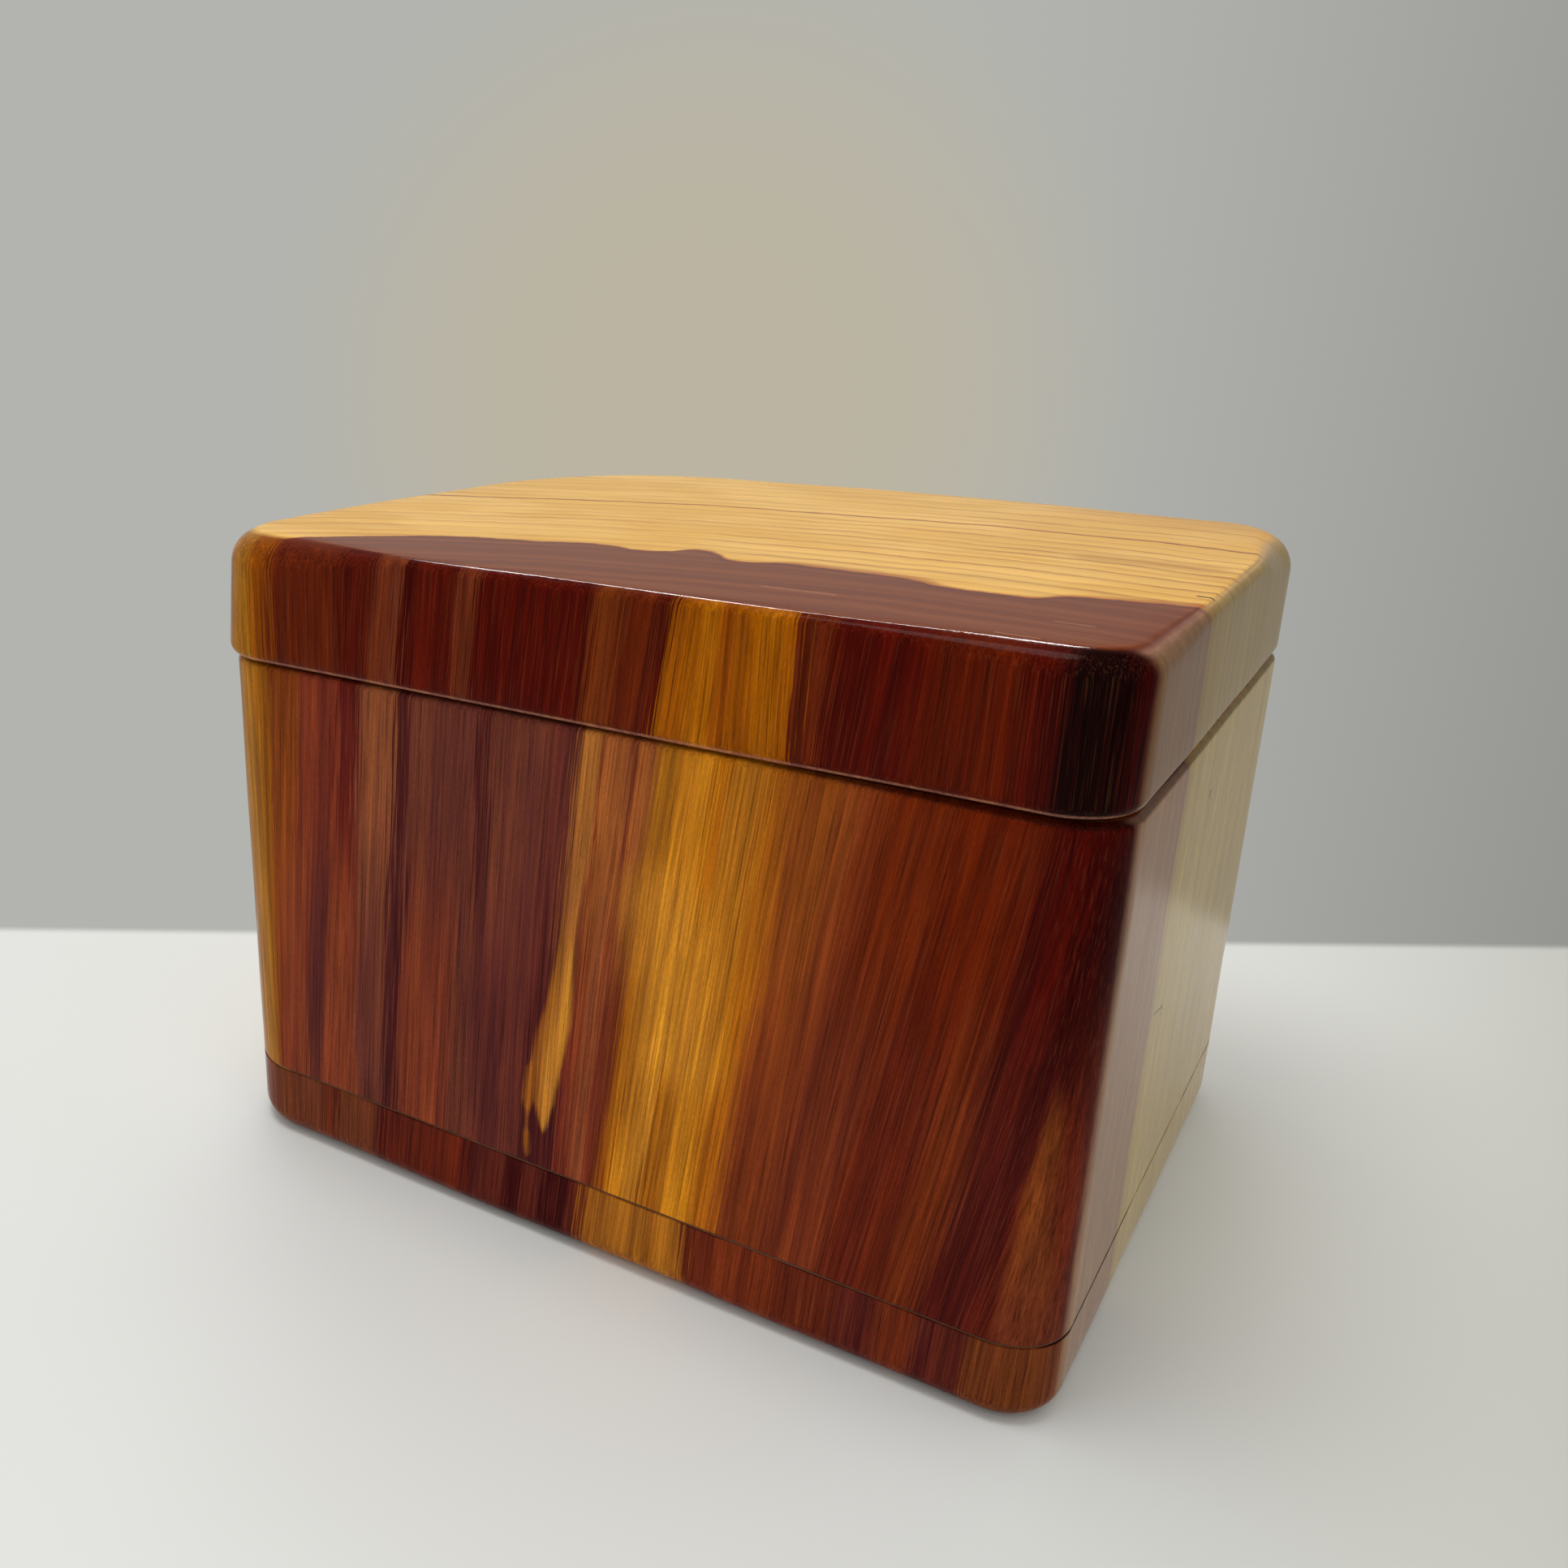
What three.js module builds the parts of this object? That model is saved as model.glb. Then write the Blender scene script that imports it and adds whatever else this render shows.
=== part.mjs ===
// A small lidded keepsake box cut from one block of aromatic cedar, in millimetres, +Z up.
// The block is sliced across its upright grain into a lid, a ring and a base. The core is sawn
// out of the ring, the base is glued back on, and a slice of the core is glued under the lid,
// where it drops into the mouth of the box and keeps the lid in place.
// The front faces -Y. The origin is on the surface the box stands on, under the lid's middle.

import * as THREE from "three";

// Outside of the body, which is the ring and the base together.
const BODY_WIDTH = 100;
const BODY_DEPTH = 79;
const BASE_THICKNESS = 8.7;
const RING_HEIGHT = 50;

// The lid overhangs the body a little on every side.
const LID_THICKNESS = 13.8;
const LID_OVERHANG_SIDE = 0.4;
const LID_OVERHANG_FRONT = 0.5;

// Upright corners of the block. The back left one keeps the round of the log, and the lid's
// front left one is sanded rounder towards the top.
const CORNER_FRONT_RIGHT = 6.2;
const CORNER_BACK_RIGHT = 9.4;
const CORNER_BACK_LEFT = 30;
const CORNER_FRONT_LEFT = 8.6;
const LID_FRONT_LEFT_EXTRA = 1.6;

// Sanded edges. The lid's top edge is crisp along the middle of the front and of the right side,
// softer at the back and left, and softest at the corners, with a smooth change between them.
const LID_TOP_SIDE_ROUND = { front: 1.1, right: 1.4, back: 2.2, left: 3.6 };
const LID_TOP_CORNER_ROUND = { frontRight: 2.6, backRight: 4.6, backLeft: 4.6, frontLeft: 3.8 };
const ROUND_CHANGE_LENGTH = 22;
const LID_LOWER_ROUND = 1.5;
const BASE_LOWER_ROUND = 2.8;
const RIM_ROUND = 0.9;
const MOUTH_ROUND = 0.6;

// The sawn compartment: its wall, and the tightest corner that the saw blade turned.
const WALL_THICKNESS = 10;
const SAW_TURN_RADIUS = 8;

// The locating plug under the lid. The lid sits a little to the left, inside the clearance.
const PLUG_THICKNESS = 6;
const PLUG_CLEARANCE = 0.9;
const PLUG_LOWER_ROUND = 1.2;
const LID_SET_LEFT_SHARE = 0.45;

// How finely rounds are drawn, and the sides of the lid, along which the edge round changes.
const CORNER_STEPS = 12;
const EDGE_STEPS = 6;
const LID_SIDE_STEPS = 12;

const LID_WIDTH = BODY_WIDTH + 2 * LID_OVERHANG_SIDE;
const LID_DEPTH = BODY_DEPTH + 2 * LID_OVERHANG_FRONT;
const RIM_HEIGHT = BASE_THICKNESS + RING_HEIGHT;
const BOX_HEIGHT = RIM_HEIGHT + LID_THICKNESS;
const CAVITY_WIDTH = BODY_WIDTH - 2 * WALL_THICKNESS;
const CAVITY_DEPTH = BODY_DEPTH - 2 * WALL_THICKNESS;
const PLUG_WIDTH = CAVITY_WIDTH - 2 * PLUG_CLEARANCE;
const PLUG_DEPTH = CAVITY_DEPTH - 2 * PLUG_CLEARANCE;
const BODY_SET_RIGHT = LID_SET_LEFT_SHARE * PLUG_CLEARANCE;
const QUARTER_TURN = Math.PI / 2;

// The block's corners run anticlockwise seen from above, starting at the front right. Each one
// names the side that it leads to.
const FRONT_RIGHT = { name: "frontRight", radius: CORNER_FRONT_RIGHT, toRight: 1, toBack: -1, side: "right" };
const BACK_RIGHT = { name: "backRight", radius: CORNER_BACK_RIGHT, toRight: 1, toBack: 1, side: "back" };
const BACK_LEFT = { name: "backLeft", radius: CORNER_BACK_LEFT, toRight: -1, toBack: 1, side: "left" };
const FRONT_LEFT = { name: "frontLeft", radius: CORNER_FRONT_LEFT, toRight: -1, toBack: -1, side: "front" };
const CORNERS = [FRONT_RIGHT, BACK_RIGHT, BACK_LEFT, FRONT_LEFT];

// The points round one corner of an outline. Each point knows which way is out, the corner and
// side that it belongs to, and how far along the side it stands from the end of the corner.
function cornerPoints(corner, index, width, depth, radius) {
  const centreX = corner.toRight * (width / 2 - radius);
  const centreY = corner.toBack * (depth / 2 - radius);
  return Array.from({ length: CORNER_STEPS + 1 }, (_, step) => {
    const angle = (index - 1 + step / CORNER_STEPS) * QUARTER_TURN;
    const outX = Math.cos(angle);
    const outY = Math.sin(angle);
    const place = { x: centreX + radius * outX, y: centreY + radius * outY };
    return { ...place, outX, outY, corner, side: corner.side, along: 0 };
  });
}

// The points of the straight side between two corners. Each one belongs to the nearer corner.
function sidePoints(start, end, sideSteps) {
  const length = Math.hypot(end.x - start.x, end.y - start.y);
  return Array.from({ length: sideSteps - 1 }, (_, index) => {
    const share = (index + 1) / sideSteps;
    const x = start.x + (end.x - start.x) * share;
    const y = start.y + (end.y - start.y) * share;
    const { corner } = share < 1 / 2 ? start : end;
    return { ...start, x, y, corner, along: length * Math.min(share, 1 - share) };
  });
}

// The rounded outline of a rectangle, with each side in sideSteps straight steps.
function blockOutline(width, depth, radiusOf, sideSteps = 1) {
  const arcs = CORNERS.map((corner, index) => cornerPoints(corner, index, width, depth, radiusOf(corner)));
  return arcs.flatMap((arc, index) => {
    const next = arcs[(index + 1) % arcs.length];
    return [...arc, ...sidePoints(arc.at(-1), next[0], sideSteps)];
  });
}

// An edge round at a point of an outline: one size all round, or a size for each side and corner
// with a smooth change along the sides.
function roundAt({ corner, side, along }, round) {
  if (typeof round === "number") return round;
  const share = Math.min(along / ROUND_CHANGE_LENGTH, 1);
  const blend = share * share * (3 - 2 * share);
  return round.corners[corner.name] * (1 - blend) + round.sides[side] * blend;
}

// An outline at one height.
function level(outline, height) {
  return outline.map(({ x, y }) => [x, y, height]);
}

// The levels of a quarter-round edge, from the level face at faceHeight to the upright side.
// down is 1 where the side goes down from the face and -1 where it goes up, and inward is 1 on
// the outside of a piece and -1 on the wall of a hollow.
function edgeLevels(outline, round, faceHeight, down, inward) {
  return Array.from({ length: EDGE_STEPS + 1 }, (_, step) => {
    const turn = (step / EDGE_STEPS) * QUARTER_TURN;
    return outline.map((point) => {
      const radius = roundAt(point, round);
      const inset = inward * radius * (1 - Math.sin(turn));
      const drop = down * radius * (1 - Math.cos(turn));
      return [point.x - point.outX * inset, point.y - point.outY * inset, faceHeight - drop];
    });
  });
}

// Joins levels that have the same number of points with bands of triangles that face out, each
// level to the next, and the last to the first where the levels close on themselves.
function bandFaces(levelCount, pointCount, closesOnItself) {
  const faces = [];
  const bandCount = closesOnItself ? levelCount : levelCount - 1;
  for (let band = 0; band < bandCount; band++) {
    const low = band * pointCount;
    const high = ((band + 1) % levelCount) * pointCount;
    for (let i = 0; i < pointCount; i++) {
      const next = (i + 1) % pointCount;
      faces.push(low + i, low + next, high + next);
      faces.push(low + i, high + next, high + i);
    }
  }
  return faces;
}

// A fan of triangles from a point in the middle to the level that starts at the point start.
function capFaces(middle, start, pointCount, facesDown) {
  const faces = [];
  for (let i = 0; i < pointCount; i++) {
    const next = (i + 1) % pointCount;
    if (facesDown) faces.push(middle, start + next, start + i);
    else faces.push(middle, start + i, start + next);
  }
  return faces;
}

function surface(positions, faces) {
  const geometry = new THREE.BufferGeometry();
  geometry.setAttribute("position", new THREE.Float32BufferAttribute(positions.flat(), 3));
  geometry.setIndex(faces);
  geometry.computeVertexNormals();
  return geometry;
}

// A solid block through its levels, lowest first, with a flat face at each end.
function block(levels) {
  const pointCount = levels[0].length;
  const top = levels.at(-1);
  const underMiddle = [0, 0, levels[0][0][2]];
  const topMiddle = [0, 0, top[0][2]];
  const positions = [...levels.flat(), underMiddle, topMiddle];
  const faces = [
    ...bandFaces(levels.length, pointCount, false),
    ...capFaces(positions.length - 2, 0, pointCount, true),
    ...capFaces(positions.length - 1, positions.length - 2 - pointCount, pointCount, false),
  ];
  return surface(positions, faces);
}

// A ring through its levels, up the outside and back down the inside.
function ring(levels) {
  return surface(levels.flat(), bandFaces(levels.length, levels[0].length, true));
}

// The compartment follows the block's corners at the wall's thickness, unless the saw could not
// turn that tightly, and the plug follows the compartment.
const blockRadius = (corner) => corner.radius;
const lidRadius = (corner) => corner.radius + LID_OVERHANG_SIDE;
const lidTopRadius = (corner) => lidRadius(corner) + (corner === FRONT_LEFT ? LID_FRONT_LEFT_EXTRA : 0);
const cavityRadius = (corner) => Math.max(corner.radius - WALL_THICKNESS, SAW_TURN_RADIUS);
const plugRadius = (corner) => cavityRadius(corner) - PLUG_CLEARANCE;

function baseSlice() {
  const outline = blockOutline(BODY_WIDTH, BODY_DEPTH, blockRadius);
  return block([...edgeLevels(outline, BASE_LOWER_ROUND, 0, -1, 1), level(outline, BASE_THICKNESS)]);
}

function bodyRing() {
  const outside = blockOutline(BODY_WIDTH, BODY_DEPTH, blockRadius);
  const inside = blockOutline(CAVITY_WIDTH, CAVITY_DEPTH, cavityRadius);
  return ring([
    level(outside, BASE_THICKNESS),
    ...edgeLevels(outside, RIM_ROUND, RIM_HEIGHT, 1, 1).reverse(),
    ...edgeLevels(inside, MOUTH_ROUND, RIM_HEIGHT, 1, -1),
    level(inside, BASE_THICKNESS),
  ]);
}

function lidSlab() {
  const foot = blockOutline(LID_WIDTH, LID_DEPTH, lidRadius, LID_SIDE_STEPS);
  const top = blockOutline(LID_WIDTH, LID_DEPTH, lidTopRadius, LID_SIDE_STEPS);
  const topRound = { sides: LID_TOP_SIDE_ROUND, corners: LID_TOP_CORNER_ROUND };
  return block([
    ...edgeLevels(foot, LID_LOWER_ROUND, RIM_HEIGHT, -1, 1),
    ...edgeLevels(top, topRound, BOX_HEIGHT, 1, 1).reverse(),
  ]);
}

function lidPlug() {
  const outline = blockOutline(PLUG_WIDTH, PLUG_DEPTH, plugRadius);
  return block([
    ...edgeLevels(outline, PLUG_LOWER_ROUND, RIM_HEIGHT - PLUG_THICKNESS, -1, 1),
    level(outline, RIM_HEIGHT),
  ]);
}

// Lacquered cedar outside, and bare cedar for the slice of the core under the lid.
const heartwood = new THREE.MeshStandardMaterial({ color: 0x7a3420, roughness: 0.32, metalness: 0 });
const sapwood = new THREE.MeshStandardMaterial({ color: 0xd8a654, roughness: 0.32, metalness: 0 });
const bareCedar = new THREE.MeshStandardMaterial({ color: 0xc98f63, roughness: 0.7, metalness: 0 });

function piece(name, geometry, material) {
  const mesh = new THREE.Mesh(geometry, material);
  mesh.name = name;
  return mesh;
}

const body = new THREE.Group();
body.position.x = BODY_SET_RIGHT;
body.add(piece("base_slice", baseSlice(), heartwood), piece("body_ring", bodyRing(), heartwood));

const lid = new THREE.Group();
lid.add(piece("lid_slab", lidSlab(), sapwood), piece("lid_plug", lidPlug(), bareCedar));

const box = new THREE.Group();
box.add(body, lid);

export default box;
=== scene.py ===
# A small lidded keepsake box cut from one block of aromatic cedar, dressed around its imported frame.
# Lengths are in millimetres until a mesh is made, and the axes are the frame's own. The wood is one
# solid texture, so rings, heartwood and fibres run on through the lid, the ring and the base.

import math
from collections import namedtuple
from functools import partialmethod

import bpy
from mathutils import Matrix, Vector, noise


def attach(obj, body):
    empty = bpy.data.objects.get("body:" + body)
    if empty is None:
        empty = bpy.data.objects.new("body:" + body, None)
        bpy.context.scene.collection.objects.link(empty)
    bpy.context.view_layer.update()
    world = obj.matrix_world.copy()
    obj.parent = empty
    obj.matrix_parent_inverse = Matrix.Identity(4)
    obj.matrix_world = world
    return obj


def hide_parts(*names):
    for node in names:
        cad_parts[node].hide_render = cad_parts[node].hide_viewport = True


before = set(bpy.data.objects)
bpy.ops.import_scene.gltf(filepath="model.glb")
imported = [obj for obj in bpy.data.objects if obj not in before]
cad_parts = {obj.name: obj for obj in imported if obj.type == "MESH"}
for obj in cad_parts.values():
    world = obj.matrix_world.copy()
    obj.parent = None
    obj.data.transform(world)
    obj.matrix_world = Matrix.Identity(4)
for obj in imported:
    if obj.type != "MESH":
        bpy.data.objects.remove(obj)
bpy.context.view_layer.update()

# Sizes that the solids have
MM = 0.001
BODY_WIDTH = 100
BODY_DEPTH = 79
BASE_THICKNESS = 8.7
RING_HEIGHT = 50
LID_THICKNESS = 13.8
LID_OVERHANG_SIDE = 0.4
LID_OVERHANG_FRONT = 0.5
LID_FRONT_LEFT_EXTRA = 1.6
LID_TOP_ROUND = {
    "sides": {"front": 1.1, "right": 1.4, "back": 2.2, "left": 3.6},
    "corners": {"front right": 2.6, "back right": 4.6, "back left": 4.6, "front left": 3.8},
}
ROUND_CHANGE_LENGTH = 22
LID_LOWER_ROUND = 1.5
BASE_LOWER_ROUND = 2.8
RIM_ROUND = 0.9
MOUTH_ROUND = 0.6
WALL_THICKNESS = 10
SAW_TURN_RADIUS = 8
PLUG_THICKNESS = 6
PLUG_CLEARANCE = 0.9
PLUG_LOWER_ROUND = 1.2
LID_SET_LEFT_SHARE = 0.45

RIM_HEIGHT = BASE_THICKNESS + RING_HEIGHT
BOX_HEIGHT = RIM_HEIGHT + LID_THICKNESS
BODY_SET_RIGHT = LID_SET_LEFT_SHARE * PLUG_CLEARANCE
LID_WIDTH = BODY_WIDTH + 2 * LID_OVERHANG_SIDE
LID_DEPTH = BODY_DEPTH + 2 * LID_OVERHANG_FRONT
CAVITY_WIDTH = BODY_WIDTH - 2 * WALL_THICKNESS
CAVITY_DEPTH = BODY_DEPTH - 2 * WALL_THICKNESS
PLUG_WIDTH = CAVITY_WIDTH - 2 * PLUG_CLEARANCE
PLUG_DEPTH = CAVITY_DEPTH - 2 * PLUG_CLEARANCE

# The block's upright corners, anticlockwise from the front right: each one's radius, where it
# stands to the right and the back, and the side that it leads to
Corner = namedtuple("Corner", "name radius x y side")
CORNERS = [
    Corner("front right", 6.2, 1, -1, "right"),
    Corner("back right", 9.4, 1, 1, "back"),
    Corner("back left", 30.0, -1, 1, "left"),
    Corner("front left", 8.6, -1, -1, "front"),
]

# How finely the visual pieces are drawn
CORNER_STEPS = 22
SIDE_STEPS = {"front": 50, "right": 40, "back": 50, "left": 40}
ROUND_STEPS = 9
FACE_STEPS = 22
WALL_STEP = 2.2
SEAM_BEVEL = 0.16
SHARP_ANGLE = math.radians(55)

# Hand sanding: how deep it dips below the true faces, and how far apart its dips are
SANDING_DEPTH = 0.16
SANDING_SIZE = 17
ROUND_WAVER = 0.16
ROUND_WAVER_SIZE = 21

# How far up or down the normal of a level face points, at least
LEVEL_NORMAL = 0.98


# Outlines and edges of the wooden pieces

def block_radius(corner):
    return corner.radius


def lid_radius(corner):
    return corner.radius + LID_OVERHANG_SIDE


def lid_top_radius(corner):
    extra = LID_FRONT_LEFT_EXTRA if corner.name == "front left" else 0.0
    return lid_radius(corner) + extra


def cavity_radius(corner):
    return max(corner.radius - WALL_THICKNESS, SAW_TURN_RADIUS)


def plug_radius(corner):
    return cavity_radius(corner) - PLUG_CLEARANCE


# A point of an outline: where it is, which way is out, the corner and side that it belongs to,
# and how far along the side it stands from the end of the corner
Point = namedtuple("Point", "place out corner side along")


def corner_points(corner, index, width, depth, radius):
    centre_x = corner.x * (width / 2 - radius)
    centre_y = corner.y * (depth / 2 - radius)
    points = []
    for step in range(CORNER_STEPS + 1):
        angle = (index - 1 + step / CORNER_STEPS) * math.pi / 2
        out = Vector((math.cos(angle), math.sin(angle)))
        place = Vector((centre_x, centre_y)) + out * radius
        points.append(Point(place, out, corner.name, corner.side, 0.0))
    return points


def side_points(start, end):
    """The points of the straight side between two corners. Each belongs to the nearer corner."""
    length = (end.place - start.place).length
    steps = SIDE_STEPS[start.side]
    points = []
    for step in range(1, steps):
        share = step / steps
        corner = start.corner if share < 0.5 else end.corner
        along = length * min(share, 1 - share)
        points.append(Point(start.place.lerp(end.place, share), start.out, corner, start.side, along))
    return points


def block_outline(width, depth, radius_of):
    """The rounded outline of a rectangle, with the same number of points whatever its size."""
    corners = [
        corner_points(corner, index, width, depth, radius_of(corner))
        for index, corner in enumerate(CORNERS)
    ]
    outline = []
    for index, points in enumerate(corners):
        following = corners[(index + 1) % len(corners)]
        outline += points + side_points(points[-1], following[0])
    return outline


def round_at(point, rounds, height):
    """The size of an edge round at a point, with the small waver that hand sanding gives it."""
    size = rounds
    if isinstance(rounds, dict):
        share = min(point.along / ROUND_CHANGE_LENGTH, 1.0)
        blend = share * share * (3 - 2 * share)
        size = rounds["corners"][point.corner] * (1 - blend) + rounds["sides"][point.side] * blend
    wander = noise.noise(Vector((*point.place, height)) / ROUND_WAVER_SIZE)
    return size * (1 - ROUND_WAVER * (0.5 + wander))


def level(outline, height):
    return [Vector((*point.place, height)) for point in outline]


def edge_levels(outline, rounds, face_height, down, inward):
    """Levels of a quarter-round edge, from the level face to the upright side."""
    levels = []
    for step in range(ROUND_STEPS + 1):
        turn = step / ROUND_STEPS * math.pi / 2
        points = []
        for point in outline:
            radius = round_at(point, rounds, face_height)
            place = point.place - point.out * inward * radius * (1 - math.sin(turn))
            points.append(Vector((*place, face_height - down * radius * (1 - math.cos(turn)))))
        levels.append(points)
    return levels


def bevel_levels(outline, face_height, down, inward):
    """Levels of the tiny bevel where two pieces are glued, from the level face to the upright side."""
    inner = [point.place - point.out * inward * SEAM_BEVEL for point in outline]
    return [
        [Vector((*place, face_height)) for place in inner],
        level(outline, face_height - down * SEAM_BEVEL),
        level(outline, face_height - down * 2 * SEAM_BEVEL),
    ]


def wall_levels(low, high):
    """Evenly spaced levels between two levels, without the two themselves."""
    height = high[0].z - low[0].z
    steps = max(2, round(abs(height) / WALL_STEP))
    return [[a.lerp(b, step / steps) for a, b in zip(low, high)] for step in range(1, steps)]


def face_levels(edge):
    """Levels that close a flat face, from its edge to near its middle."""
    middle = Vector((0, 0, edge[0].z))
    levels = []
    for step in range(1, FACE_STEPS):
        share = 1 - step / FACE_STEPS
        levels.append([middle.lerp(Vector((p.x, p.y, middle.z)), share) for p in edge])
    return levels


def joined(*parts):
    """One list of levels from lists of levels, with evenly spaced walls between the lists."""
    levels = list(parts[0])
    for part in parts[1:]:
        levels += wall_levels(levels[-1], part[0])
        levels += part
    return levels


# Meshes of the wooden pieces

def put_in_scene(name, data):
    thing = bpy.data.objects.new(name, data)
    bpy.context.scene.collection.objects.link(thing)
    return thing


def sand(mesh):
    """Lets the upright faces dip below their true place here and there, never above it."""
    moves = []
    for vertex in mesh.vertices:
        dip = max(0.0, 0.5 + 0.5 * noise.noise(vertex.co / SANDING_SIZE))
        is_level = abs(vertex.normal.z) > LEVEL_NORMAL
        moves.append(Vector() if is_level else vertex.normal * -dip * SANDING_DEPTH)
    for vertex, move in zip(mesh.vertices, moves):
        vertex.co += move


def make_piece(name, levels, closes_on_itself, is_bare, materials, shift):
    """A closed piece through its levels. is_bare says which faces get the second material."""
    count = len(levels[0])
    places = [place for points in levels for place in points]
    faces = []
    bands = len(levels) if closes_on_itself else len(levels) - 1
    for band in range(bands):
        low = band * count
        high = (band + 1) % len(levels) * count
        faces += [
            (low + i, low + (i + 1) % count, high + (i + 1) % count, high + i)
            for i in range(count)
        ]
    if not closes_on_itself:
        last = (len(levels) - 1) * count
        places += [Vector((0, 0, levels[0][0].z)), Vector((0, 0, levels[-1][0].z))]
        faces += [(len(places) - 2, (i + 1) % count, i) for i in range(count)]
        faces += [(len(places) - 1, last + i, last + (i + 1) % count) for i in range(count)]
    mesh = bpy.data.meshes.new(name)
    mesh.from_pydata(places, [], faces)
    mesh.update()
    sand(mesh)
    for vertex in mesh.vertices:
        vertex.co = (vertex.co + Vector((shift, 0, 0))) * MM
    for material in materials:
        mesh.materials.append(material)
    for polygon in mesh.polygons:
        polygon.use_smooth = True
        polygon.material_index = int(is_bare(polygon.center / MM, polygon.normal))
    mesh.set_sharp_from_angle(angle=SHARP_ANGLE)
    mesh.update()
    return put_in_scene(name, mesh)


def base_levels():
    outline = block_outline(BODY_WIDTH, BODY_DEPTH, block_radius)
    foot = edge_levels(outline, BASE_LOWER_ROUND, 0.0, -1, 1)
    seam = bevel_levels(outline, BASE_THICKNESS, 1, 1)[::-1]
    return face_levels(foot[0])[::-1] + joined(foot, seam) + face_levels(seam[-1])


def ring_levels():
    outside = block_outline(BODY_WIDTH, BODY_DEPTH, block_radius)
    inside = block_outline(CAVITY_WIDTH, CAVITY_DEPTH, cavity_radius)
    seam = bevel_levels(outside, BASE_THICKNESS, -1, 1)
    rim = edge_levels(outside, RIM_ROUND, RIM_HEIGHT, 1, 1)[::-1]
    mouth = edge_levels(inside, MOUTH_ROUND, RIM_HEIGHT, 1, -1)
    return joined(seam, rim) + joined(mouth, [level(inside, BASE_THICKNESS)])


def lid_levels():
    foot_outline = block_outline(LID_WIDTH, LID_DEPTH, lid_radius)
    top_outline = block_outline(LID_WIDTH, LID_DEPTH, lid_top_radius)
    foot = edge_levels(foot_outline, LID_LOWER_ROUND, RIM_HEIGHT, -1, 1)
    top = edge_levels(top_outline, LID_TOP_ROUND, BOX_HEIGHT, 1, 1)[::-1]
    return face_levels(foot[0])[::-1] + joined(foot, top) + face_levels(top[-1])


def plug_levels():
    outline = block_outline(PLUG_WIDTH, PLUG_DEPTH, plug_radius)
    foot = edge_levels(outline, PLUG_LOWER_ROUND, RIM_HEIGHT - PLUG_THICKNESS, -1, 1)
    top = [level(outline, RIM_HEIGHT)]
    return face_levels(foot[0])[::-1] + joined(foot, top) + face_levels(top[-1])


# Node graphs

# How many stops one colour ramp can hold
RAMP_LIMIT = 32


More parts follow.
